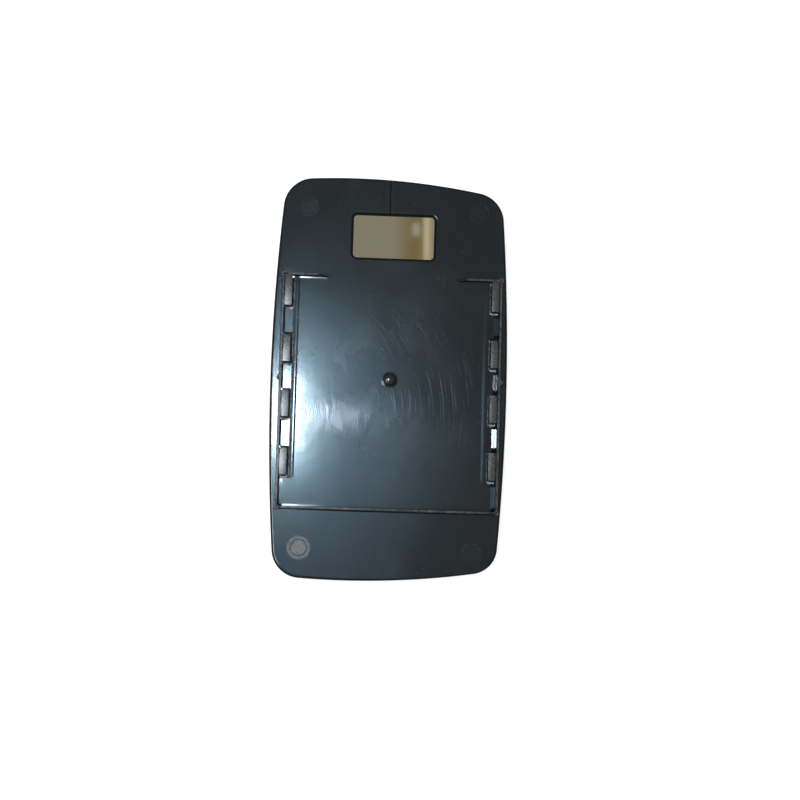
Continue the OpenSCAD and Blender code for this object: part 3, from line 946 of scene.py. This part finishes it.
class Nodes:
    """Short way to wire a node tree, which starts out empty"""

    def __init__(self, owner):
        owner.use_nodes = True
        self.owner, self.tree = owner, owner.node_tree
        self.tree.nodes.clear()

    def feed(self, socket, value):
        """Links another node's output to a socket, or sets it to a number or colour"""
        if isinstance(value, bpy.types.NodeSocket):
            self.tree.links.new(value, socket)
        else:
            socket.default_value = value

    def add(self, kind, inputs=None, **settings):
        node = self.tree.nodes.new(kind)
        for key, value in settings.items():
            setattr(node, key, value)
        for key, value in (inputs or {}).items():
            self.feed(node.inputs[key], value)
        return node

    def noise(self, vector, scale, detail=2.0, rough=0.5, distortion=0.0):
        return self.add("ShaderNodeTexNoise", {
            "Vector": vector, "Scale": scale, "Detail": detail, "Roughness": rough, "Distortion": distortion,
        }).outputs["Fac"]

    def cells(self, vector, scale):
        """Distance from the middles of scattered cells"""
        return self.add("ShaderNodeTexVoronoi", {"Vector": vector, "Scale": scale}).outputs["Distance"]

    def span(self, value, low, high, to_low=0.0, to_high=1.0):
        """Maps low to high onto to_low to to_high, and holds it between them"""
        return self.add("ShaderNodeMapRange", {
            "Value": value, "From Min": low, "From Max": high, "To Min": to_low, "To Max": to_high,
        }, clamp=True).outputs["Result"]

    def math(self, operation, *values):
        return self.add("ShaderNodeMath", dict(enumerate(values)), operation=operation).outputs[0]

    def chain(self, operation, values):
        total = values[0]
        for value in values[1:]:
            total = self.math(operation, total, value)
        return total

    def times(self, *values):
        return self.chain("MULTIPLY", values)

    def plus(self, *values):
        return self.chain("ADD", values)

    def most(self, *values):
        return self.chain("MAXIMUM", values)

    def waver(self, noise, amount):
        """A noise's swing round its middle, half of amount to either side"""
        return self.times(self.math("SUBTRACT", noise, 0.5), amount)

    def mix(self, factor, a, b):
        return self.add("ShaderNodeMix", {0: factor, 6: a, 7: b}, data_type="RGBA").outputs[2]

    def bump(self, *layers):
        """Bumps laid one over the other, each given as height, strength and distance"""
        normal = None
        for height, strength, distance in layers:
            node = self.add("ShaderNodeBump", {"Height": height, "Strength": strength, "Distance": distance})
            if normal is not None:
                self.feed(node.inputs["Normal"], normal)
            normal = node.outputs[0]
        return normal

    def moved(self, vector, location=(0, 0, 0), scale=(1, 1, 1), rotation=(0, 0, 0)):
        return self.add("ShaderNodeMapping", {
            "Vector": vector, "Location": location, "Scale": scale, "Rotation": rotation,
        }).outputs[0]

    def vector(self, operation, value):
        return self.add("ShaderNodeVectorMath", {0: value}, operation=operation)

    def split(self, vector):
        return tuple(self.add("ShaderNodeSeparateXYZ", {0: vector}).outputs)

    def background_rays(self):
        """1 for the rays that see the background: straight from the camera, mirrored or through glass"""
        path = self.add("ShaderNodeLightPath").outputs
        return self.most(path["Is Camera Ray"], path["Is Glossy Ray"], path["Is Transmission Ray"])

    def show(self, shader, output="ShaderNodeOutputMaterial"):
        self.add(output, {0: shader.outputs[0]})
        return self.owner


class Surface(Nodes):
    """A material of the part, with its main shader and the places on the object"""

    def __init__(self, name):
        super().__init__(bpy.data.materials.get(name) or bpy.data.materials.new(name))
        self.shader = self.add("ShaderNodeBsdfPrincipled")
        self.show(self.shader)
        self.at = self.add("ShaderNodeTexCoord").outputs["Object"]

    def around(self, centre):
        """Place seen from an upright line through centre, flattened"""
        return self.moved(self.at, (-centre[0] * MM, -centre[1] * MM, 0), (1, 1, 0))

    def radius(self, centre):
        """Distance from an upright line through centre, in metres"""
        return self.vector("LENGTH", self.around(centre)).outputs["Value"]

    def dress(self, **inputs):
        """Feeds the main shader, with _ for a space in a socket's name, and hands back the material"""
        for key, value in inputs.items():
            self.feed(self.shader.inputs[key.replace("_", " ")], value)
        return self.owner


def shaded(colour, factor=1.0):
    return (*(min(1.0, c * factor) for c in colour), 1.0)


def rubbed_marks(n, s):
    """The bottom left ejector mark is rubbed white, the others show as faint rings"""
    r = s.mark_r * MM
    grain = n.span(n.noise(n.at, 700.0, 5.0, 0.8), 0.35, 0.65, 0.45, 1.35)
    ragged = n.waver(n.noise(n.at, 380.0, 5.0, 0.7), 0.002)
    spots = []
    discs, halos = (1.0, 0.03, 0.02, 0.015), (0.8, 0.06, 0.07, 0.05)
    for centre, disc, halo in zip(mark_centres(s), discs, halos):
        near = n.plus(n.radius(centre), ragged)
        full, gone = (1.28, 1.46) if disc > 0.5 else (1.08, 1.14)
        spot = n.times(n.span(near, r * 0.84, r * 0.9, 1.0, 0.0), disc)
        collar = n.times(n.span(near, r * 0.97, r * 1.02), n.span(near, r * full, r * gone, 1.0, 0.0))
        spots.append(n.times(n.most(spot, n.times(collar, halo)), grain))
    return n.most(*spots)


def gloss_plastic(finish, s):
    """Polished black moulding with swirled hairline scratches, smears, dust and rubbed marks; the scratches carry
    a painted glint and the weld line a painted shade and sheen
    """
    n = Surface("gloss_black_plastic")
    at, x, y = n.at, s.clip_x, s.clip_y
    swirl_centre, hair_glint_centre = (x - 62.0, y - 22.0), (x + 6.0, y - 4.0)
    brushed_centre, smear_centre = (x - 10.0, y - 18.0), (x - 8.0, y)
    rings_per_metre, cells_per_radian = 1400.0, 2.2
    weld_x, window_edge = x - 2.6, s.window_y + s.window_h / 2

    # Hairline scratches run in arcs round a point on the left of the plate. They are real wear, but they are paled
    # most within a few centimetres of a point just right of the pin: a painted glint where they catch the lamps
    flat = n.around(swirl_centre)
    away = n.vector("NORMALIZE", flat).outputs["Vector"]
    reach = n.vector("LENGTH", flat).outputs["Value"]
    across, along, _ = n.split(flat)
    angle_there = n.math("ARCTAN2", along, across)
    swirl = n.add("ShaderNodeCombineXYZ", {
        0: n.times(reach, rings_per_metre), 1: n.times(angle_there, cells_per_radian),
    }).outputs[0]
    patches = n.span(n.noise(at, 34.0, 3.0), 0.4, 0.62)
    hairs_and_glint = n.times(
        n.span(n.noise(swirl, 1.0, 3.0, 0.65, 0.2), 0.56, 0.72), patches,
        n.plus(n.span(n.radius(hair_glint_centre), 0.03, 0.066, 0.9, 0.0), 0.08),
    )

    # Brushed area in the middle, and the streaked band that crosses it below the pin
    grain = n.noise(n.moved(swirl, (7, 3, 0), (1.35, 0.9, 1)), 1.0, 3.0, 0.6)
    zone = n.plus(n.times(n.span(n.radius(brushed_centre), 0.022, 0.056, 1.0, 0.0), 0.85), 0.08)
    sector = n.span(n.math("ABSOLUTE", angle_there), 0.16, 0.6, 1.0, 0.3)
    brushed = n.times(grain, n.plus(n.times(patches, 0.6), 0.4), n.times(zone, sector))
    px, py, _ = n.split(at)
    level = n.math("ABSOLUTE", n.math("SUBTRACT", py, swirl_centre[1] * MM))
    band = n.times(
        n.span(level, 0.0, 0.014, 1.0, 0.0),
        n.span(px, (x - 14) * MM, (x + 34) * MM, 1.0, 0.0),
        n.span(px, (x - 50) * MM, (x - 32) * MM),
    )
    streaks = n.noise(n.moved(swirl, (2, 9, 0), (1.25, 0.4, 1)), 1.0, 2.0, 0.5)

    # A few single scratches in other directions
    single = n.most(
        n.span(n.noise(n.moved(at, (0, 0, 0), (500, 9, 1), (0, 0, 0.7)), 1.0, 2.0), 0.735, 0.78),
        n.span(n.noise(n.moved(at, (3, 1, 0), (420, 8, 1), (0, 0, -1.05)), 1.0, 2.0), 0.74, 0.78),
    )
    single = n.times(single, n.span(n.noise(at, 40.0, 2.0), 0.5, 0.62))

    # Dust specks, finger smears and a haze
    specks = n.span(n.cells(at, 340.0), 0.05, 0.11, 1.0, 0.0)
    dust = n.times(specks, n.span(n.noise(at, 150.0, 2.0), 0.52, 0.64))
    wiped = n.moved(at, (0, 0, 0), (1, 0.6, 1), (0, 0, 0.5))
    smear = n.times(
        n.span(n.noise(wiped, 38.0, 4.0, 0.55, 0.5), 0.42, 0.9),
        n.span(n.radius(smear_centre), 0.03, 0.062, 1.0, 0.2),
    )
    haze = n.span(n.noise(at, 16.0, 4.0, 0.55, 0.6), 0.45, 0.75)
    rubs = rubbed_marks(n, s)

    # Weld line above the window, where the two flows met: its groove is painted darker, a painted shade, and both
    # sides are paled, a painted sheen
    wobble = n.waver(n.noise(at, 90.0), 0.0008)
    off = n.math("ABSOLUTE", n.plus(n.math("SUBTRACT", px, weld_x * MM), wobble))
    above = n.span(py, window_edge * MM, (window_edge + 1) * MM)
    weld = n.times(n.span(off, 0.00015, 0.0006, 1.0, 0.0), above)
    weld_sheen = n.times(n.span(off, 0.0005, 0.004, 0.35, 0.0), above)

    # Paler places: dust, smears, haze, rubs and scratches are wear; the scratches' paling near the pin is a
    # painted glint, and the weld's paler sides are a painted sheen
    light = n.most(
        n.times(hairs_and_glint, 0.2), n.times(single, 0.4), n.times(dust, 0.5),
        n.plus(n.times(smear, 0.15), n.times(haze, 0.05)), rubs, n.times(weld_sheen, 0.12),
    )
    colour = n.mix(light, shaded(finish.plastic), shaded(finish.worn))
    rough = n.plus(
        n.times(smear, 0.008), n.times(haze, 0.015), n.times(hairs_and_glint, 0.14), n.times(rubs, 0.5),
        n.times(band, n.span(streaks, 0.4, 0.62, 0.0, 0.05)), finish.gloss,
    )
    surface = n.bump(
        (n.noise(at, 60.0, 2.0), 0.1, 0.0002),
        (n.noise(at, 900.0, 2.0), 0.05, 0.00005),
        (n.most(hairs_and_glint, single), 0.1, 0.00002),
        (brushed, 1.0, 0.00001),
        (n.times(streaks, band), 1.0, 0.000017),
        (n.times(weld, -1.0), 1.0, 0.00012),
    )
    return n.dress(
        # The weld's groove is painted darker: a painted shade
        Base_Color=n.mix(n.times(weld, 0.9), colour, (0.002, 0.002, 0.003, 1)),
        Roughness=rough, Normal=surface, IOR=1.5, Anisotropic=0.9, Tangent=away,
        Specular_IOR_Level=0.2, Specular_Tint=(0.72, 1.0, 1.08, 1),
        Coat_Weight=0.75, Coat_Roughness=finish.gloss * 0.75, Coat_Normal=surface,
    )


def satin_plastic(finish):
    """Rib and rail tops, rubbed by the mating part"""
    n = Surface("satin_rib_tops")
    rub = n.span(n.noise(n.at, 300.0, 4.0, 0.6), 0.3, 0.75)
    return n.dress(
        Base_Color=n.mix(rub, shaded(finish.plastic), shaded(finish.worn, 0.6)),
        Roughness=n.span(n.noise(n.at, 700.0, 3.0), 0.2, 0.8, 0.22, 0.33),
        Normal=n.bump((n.noise(n.at, 1500.0, 3.0), 0.2, 0.00003)),
        Specular_IOR_Level=0.35,
    )


def shaded_dull_plastic(finish):
    """Upright walls and steep roundings, dull and streaked: a darker copy of the black plastic, a painted shade"""
    n = Surface("dull_side_walls")
    drawn = n.noise(n.moved(n.at, (0, 0, 0), (1, 1, 0.15)), 900.0, 3.0, 0.6)
    return n.dress(
        Base_Color=n.mix(n.span(drawn, 0.3, 0.7), shaded(finish.plastic, 0.4), shaded(finish.plastic, 0.9)),
        Roughness=n.span(drawn, 0.3, 0.7, 0.5, 0.68),
        Normal=n.bump((drawn, 0.3, 0.00004)),
        Specular_IOR_Level=0.2,
    )


def matt_plastic(finish):
    """Spark-eroded matt faces of the hooks, with a fine even grain"""
    n = Surface("matt_hook_tops")
    grain = n.noise(n.at, 1100.0, 4.0, 0.8)
    cloud = n.span(n.noise(n.at, 260.0, 3.0, 0.6), 0.3, 0.7)
    tone = n.mix(cloud, shaded(finish.matt, 0.8), shaded(finish.matt, 1.2))
    return n.dress(
        Base_Color=n.mix(n.span(grain, 0.35, 0.7), tone, shaded(finish.matt, 2.2)),
        Roughness=n.span(grain, 0.38, 0.62, 0.22, 0.34),
        Normal=n.bump((grain, 1.0, 0.00004)),
        Specular_IOR_Level=1.0,
    )


def flash_plastic(finish, name, pale):
    """Thin torn flash round the core holes; the copy with a high pale factor is a painted glint on the holes'
    lower ends
    """
    n = Surface(name)
    torn = n.span(n.noise(n.at, 500.0, 4.0, 0.7), 0.4, 0.65)
    return n.dress(
        Base_Color=n.mix(torn, shaded(finish.worn, 0.1 * pale), shaded(finish.worn, 0.7 * pale)),
        Roughness=n.span(n.noise(n.at, 800.0, 2.0), 0.3, 0.7, 0.08, 0.2),
    )


def mirror_coating(finish):
    """Coated face of the glass, with faint wipe marks"""
    n = Surface("mirror_coating")
    wiped = n.moved(n.at, (0, 0, 0), (1, 0.35, 1), (0, 0, 0.4))
    wipe = n.span(n.noise(wiped, 60.0, 4.0, 0.6, 0.8), 0.4, 0.8)
    return n.dress(
        Base_Color=n.mix(wipe, shaded(finish.silver), shaded(finish.silver, 0.985)),
        Roughness=n.span(wipe, 0.0, 1.0, 0.012, 0.03),
        Metallic=1.0,
    )


def ground_edge():
    """Ground rim of the glass, greenish and satin"""
    n = Surface("ground_glass_edge")
    streak = n.noise(n.moved(n.at, (0, 0, 0), (1, 1, 6)), 700.0, 3.0, 0.6)
    return n.dress(
        Base_Color=n.mix(n.span(streak, 0.3, 0.7), (0.16, 0.21, 0.19, 1), (0.3, 0.36, 0.33, 1)),
        Roughness=n.span(streak, 0.3, 0.7, 0.3, 0.5),
        Normal=n.bump((streak, 0.3, 0.00003)),
    )


def foam_rubber(finish):
    """Closed-cell foam, seen at the window's edge and through the core holes"""
    n = Surface("adhesive_foam")
    cells = n.cells(n.at, 3200.0)
    return n.dress(
        Base_Color=n.mix(n.span(cells, 0.0, 0.7), shaded(finish.foam, 0.5), shaded(finish.foam, 1.6)),
        Roughness=n.span(n.noise(n.at, 400.0), 0.3, 0.7, 0.8, 0.95),
        Normal=n.bump((cells, 0.5, 0.0001)),
    )


def settle(piece, slot, *nodes):
    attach(piece, "root")
    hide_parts(*nodes)


class BuildPlate(bpy.types.Operator):
    """Backing plate: curved floor with rounded rim, window, core holes, ridges and ejector marks"""

    bl_idname = "door_mirror.plate"
    bl_label = "Backing plate"

    def execute(self, context):
        s, finish = mm_sizes(context.scene), context.scene.mirror_finishes
        piece = plate_skin(s).build("plate_floor", gloss_plastic(finish, s), shaded_dull_plastic(finish))
        settle(piece, "black_plastic", "backing_plate")
        return {"FINISHED"}


class BuildFrame(bpy.types.Operator):
    """Clip frame on the back: rails, bay fillets, ribs, bosses and the centre pin"""

    bl_idname = "door_mirror.clip_frame"
    bl_label = "Clip frame"

    def execute(self, context):
        s, finish = mm_sizes(context.scene), context.scene.mirror_finishes
        materials = gloss_plastic(finish, s), satin_plastic(finish), shaded_dull_plastic(finish)
        for name, skin in (
            ("rails", rails_skin), ("bay_fillets", bays_skin), ("ribs", ribs_skin),
            ("ejector_bosses", bosses_skin), ("centre_pin", pin_skin),
        ):
            settle(skin(s).build(name, *materials), "black_plastic", "backing_plate")
        return {"FINISHED"}


class BuildHooks(bpy.types.Operator):
    """Eight hooks over their core holes, with the torn flash round the holes"""

    bl_idname = "door_mirror.hooks"
    bl_label = "Hooks"

    def execute(self, context):
        s, finish = mm_sizes(context.scene), context.scene.mirror_finishes
        mesh = hooks_mesh(s, "hooks")
        for material in (gloss_plastic(finish, s), matt_plastic(finish), shaded_dull_plastic(finish)):
            mesh.materials.append(material)
        hooks = bpy.data.objects.new("hooks", mesh)
        context.scene.collection.objects.link(hooks)
        settle(hooks, "black_plastic", "backing_plate")
        # The second, pale flash material is a painted glint
        torn, flash_glint = flash_plastic(finish, "torn_flash", 1), flash_plastic(finish, "whitened_flash", 5)
        flash = flash_skin(s, finish.seed).build("core_flash", torn, flash_glint)
        settle(flash, "black_plastic", "backing_plate")
        return {"FINISHED"}


class BuildGlass(bpy.types.Operator):
    """Convex mirror glass with its ground edge, and the foam that holds it"""

    bl_idname = "door_mirror.glass"
    bl_label = "Glass and foam"

    def execute(self, context):
        s, finish = mm_sizes(context.scene), context.scene.mirror_finishes
        glass = glass_skin(s).build("convex_glass", mirror_coating(finish), ground_edge())
        settle(glass, "mirror_glass", "mirror_glass")
        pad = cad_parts["adhesive_pad"]
        if not pad.material_slots:
            raise RuntimeError("the adhesive pad has no material slot")
        foam = foam_rubber(finish)
        for slot in pad.material_slots:
            slot.material = foam
        return {"FINISHED"}


def glowing(name, colour):
    """A stage material that gives off its own colour"""
    n = Nodes(bpy.data.materials.new(name))
    return n.show(n.add("ShaderNodeEmission", {0: colour, 1: 1.0}))


def card(name, centre, size, material, aim=None):
    """A flat card of the stage, which may be turned to face a point"""
    w, h = size[0] / 2, size[1] / 2
    mesh = bpy.data.meshes.new(name)
    mesh.from_pydata([(-w, -h, 0), (w, -h, 0), (w, h, 0), (-w, h, 0)], [], [(0, 1, 2, 3)])
    mesh.materials.append(material)
    obj = bpy.data.objects.new(name, mesh)
    obj.location = centre
    if aim is not None:
        obj.rotation_euler = (Vector(aim) - Vector(centre)).to_track_quat("-Z", "Y").to_euler()
    bpy.context.scene.collection.objects.link(obj)
    return obj


def lay_floor():
    """Floor: white to the camera, and it keeps the part's shadow"""
    n = Nodes(bpy.data.materials.new("pale_floor"))
    matt = n.add("ShaderNodeBsdfDiffuse", {0: (0.8, 0.8, 0.8, 1)})
    lift = n.add("ShaderNodeEmission", {1: n.times(n.background_rays(), 0.5)})
    both = n.add("ShaderNodeAddShader", {0: matt.outputs[0], 1: lift.outputs[0]})
    card("floor", (0, 0, -0.0002), (12, 12), n.show(both))


def light_room(scene, level, white=1.05):
    """Room: an even light, white to the camera"""
    scene.world = scene.world or bpy.data.worlds.new("room")
    n = Nodes(scene.world)
    strength = n.span(n.background_rays(), 0.0, 1.0, level, white)
    n.show(n.add("ShaderNodeBackground", {0: (1.0, 1.0, 1.0, 1), 1: strength}), "ShaderNodeOutputWorld")


def hang_panel():
    """Panel overhead, which the window's glass and the plate mirror: a khaki wall with a door's edge, and
    a small pale patch on it"""
    n = Nodes(bpy.data.materials.new("room_panel"))
    across = n.split(n.add("ShaderNodeNewGeometry").outputs["Position"])[0]
    ramp = n.add("ShaderNodeValToRGB", {0: n.span(across, 0.105, 0.155)})
    khaki, brown = (0.236, 0.219, 0.152, 1), (0.174, 0.137, 0.057, 1)
    pale, edge = (0.289, 0.236, 0.151, 1), (0.504, 0.436, 0.283, 1)
    stops = (
        (0.0, khaki), (0.09, khaki), (0.1, pale), (0.132, pale), (0.142, edge), (0.186, edge),
        (0.2, brown), (0.32, brown), (0.47, khaki), (1.0, khaki),
    )
    while len(ramp.color_ramp.elements) < len(stops):
        ramp.color_ramp.elements.new(0.5)
    for element, (at, colour) in zip(ramp.color_ramp.elements, stops):
        element.position, element.color = at, colour
    wall = n.show(n.add("ShaderNodeEmission", {0: ramp.outputs[0]}))
    card("room_panel", (0.13, 0.34, 3.0), (2.4, 2.4), wall, (0.13, 0.34, 0))
    patch = glowing("pale_patch", (0.36, 0.35, 0.3, 1))
    card("pale_patch", (0.118, 0.2634, 2.99), (0.003, 0.0062), patch, (0.118, 0.2634, 0))


def stand_walls():
    """Dark walls round the stage, which only the gloss mirrors"""
    height, size = 1.55, 3.2
    dark = glowing("dark_wall", (0.05, 0.048, 0.045, 1))
    for k, (x, y) in enumerate(((1.4, 0), (-1.4, 0), (0, 1.6), (0, -1.4))):
        wall = card("dark_wall_%d" % k, (x, y, height), (size, size), dark, (0, 0, height))
        wall.visible_camera = wall.visible_diffuse = wall.visible_shadow = False


def hang_lamps(scene, height):
    """Lamps above and left of the part: a small bright one, four faint ones that spread its gleam, and a
    wide one further left that lights the matt hooks and the left of the frame"""
    cold, colder = (0.7, 1.0, 1.28), (0.64, 0.98, 1.36)
    for name, x, y, wide, tall, glow, colour in (
        ("spark_lamp", -0.0085, 0.060, 0.010, 0.030, 90.0, (0.85, 1.0, 1.15)),
        ("near_lamp", -0.014, 0.058, 0.052, 0.052, 1.4, cold),
        ("halo_lamp", -0.018, 0.055, 0.090, 0.090, 0.8, colder),
        ("wide_halo_lamp", -0.020, 0.050, 0.112, 0.112, 0.7, colder),
        ("outer_halo_lamp", -0.024, 0.040, 0.132, 0.132, 0.5, colder),
        ("side_lamp", -0.145, 0.003, 0.166, 0.166, 22.0, (0.88, 1.0, 1.1)),
    ):
        data = bpy.data.lights.new(name, "AREA")
        data.shape = "ELLIPSE"
        data.size, data.size_y = wide, tall
        data.energy = glow * math.pi ** 2 * wide * tall / 4
        data.color = colour
        lamp = bpy.data.objects.new(name, data)
        lamp.location = (x, y, height)
        scene.collection.objects.link(lamp)


def set_camera(scene, stage):
    """Camera: above the part, a little to its left and below it"""
    picture, middle_px, sensor = 800, (388.44, 379.04), 36
    target = Vector((-0.00035, -0.00025, 0.008))
    toward = Vector((-math.tan(stage.tilt_left), -math.tan(stage.tilt_down), 1)).normalized()
    data = bpy.data.cameras.new("camera")
    camera = bpy.data.objects.new("camera", data)
    scene.collection.objects.link(camera)
    forward = -toward
    right = forward.cross(Vector((0, 1, 0))).normalized()
    up = right.cross(forward)
    c, d = math.cos(stage.roll), math.sin(stage.roll)
    right, up = right * c + up * d, up * c - right * d
    basis = Matrix((right, up, -forward)).transposed().to_4x4()
    camera.matrix_world = Matrix.Translation(target + toward * stage.camera_distance) @ basis
    data.sensor_width = sensor
    data.lens = stage.focal_px / picture * sensor
    data.shift_x = (picture / 2 - middle_px[0]) / picture
    data.shift_y = (middle_px[1] - picture / 2) / picture
    data.clip_start = 0.01
    scene.camera = camera


class BuildStage(bpy.types.Operator):
    """Pale floor, even room light, the panel and walls that the gloss mirrors, the lamps and the camera"""

    bl_idname = "door_mirror.stage"
    bl_label = "Stage"

    def execute(self, context):
        scene, stage = context.scene, context.scene.mirror_stage
        scene.view_settings.view_transform = "Standard"
        lay_floor()
        light_room(scene, stage.room_level)
        hang_panel()
        stand_walls()
        hang_lamps(scene, stage.lamp_height)
        set_camera(scene, stage)
        return {"FINISHED"}


class MirrorPanel(bpy.types.Panel):
    """Lists the part's pieces, sizes, finishes and stage"""

    bl_idname = "VIEW3D_PT_door_mirror"
    bl_label = "Door mirror glass"
    bl_space_type = "VIEW_3D"
    bl_region_type = "UI"
    bl_category = "Door mirror"

    def draw(self, context):
        scene = context.scene
        for group, title, operators in (
            (scene.plate_sizes, "Plate", (BuildPlate, BuildGlass)),
            (scene.clip_sizes, "Clip frame", (BuildFrame, BuildHooks)),
            (scene.mirror_finishes, "Finishes", ()),
            (scene.mirror_stage, "Stage", (BuildStage,)),
        ):
            box = self.layout.box()
            box.label(text=title)
            for operator in operators:
                box.operator(operator.bl_idname)
            for key in group.__annotations__:
                box.prop(group, key)


GROUPS = {
    "plate_sizes": PlateSizes,
    "clip_sizes": ClipSizes,
    "mirror_finishes": Finishes,
    "mirror_stage": StageSettings,
}
CLASSES = (*GROUPS.values(), BuildPlate, BuildFrame, BuildHooks, BuildGlass, BuildStage, MirrorPanel)


def register():
    for cls in CLASSES:
        bpy.utils.register_class(cls)
    for name, group in GROUPS.items():
        setattr(bpy.types.Scene, name, PointerProperty(type=group))


def unregister():
    for name in GROUPS:
        delattr(bpy.types.Scene, name)
    for cls in reversed(CLASSES):
        bpy.utils.unregister_class(cls)


def main():
    register()
    bpy.ops.door_mirror.plate()
    bpy.ops.door_mirror.clip_frame()
    bpy.ops.door_mirror.hooks()
    bpy.ops.door_mirror.glass()
    bpy.ops.door_mirror.stage()


if __name__ == "__main__":
    main()
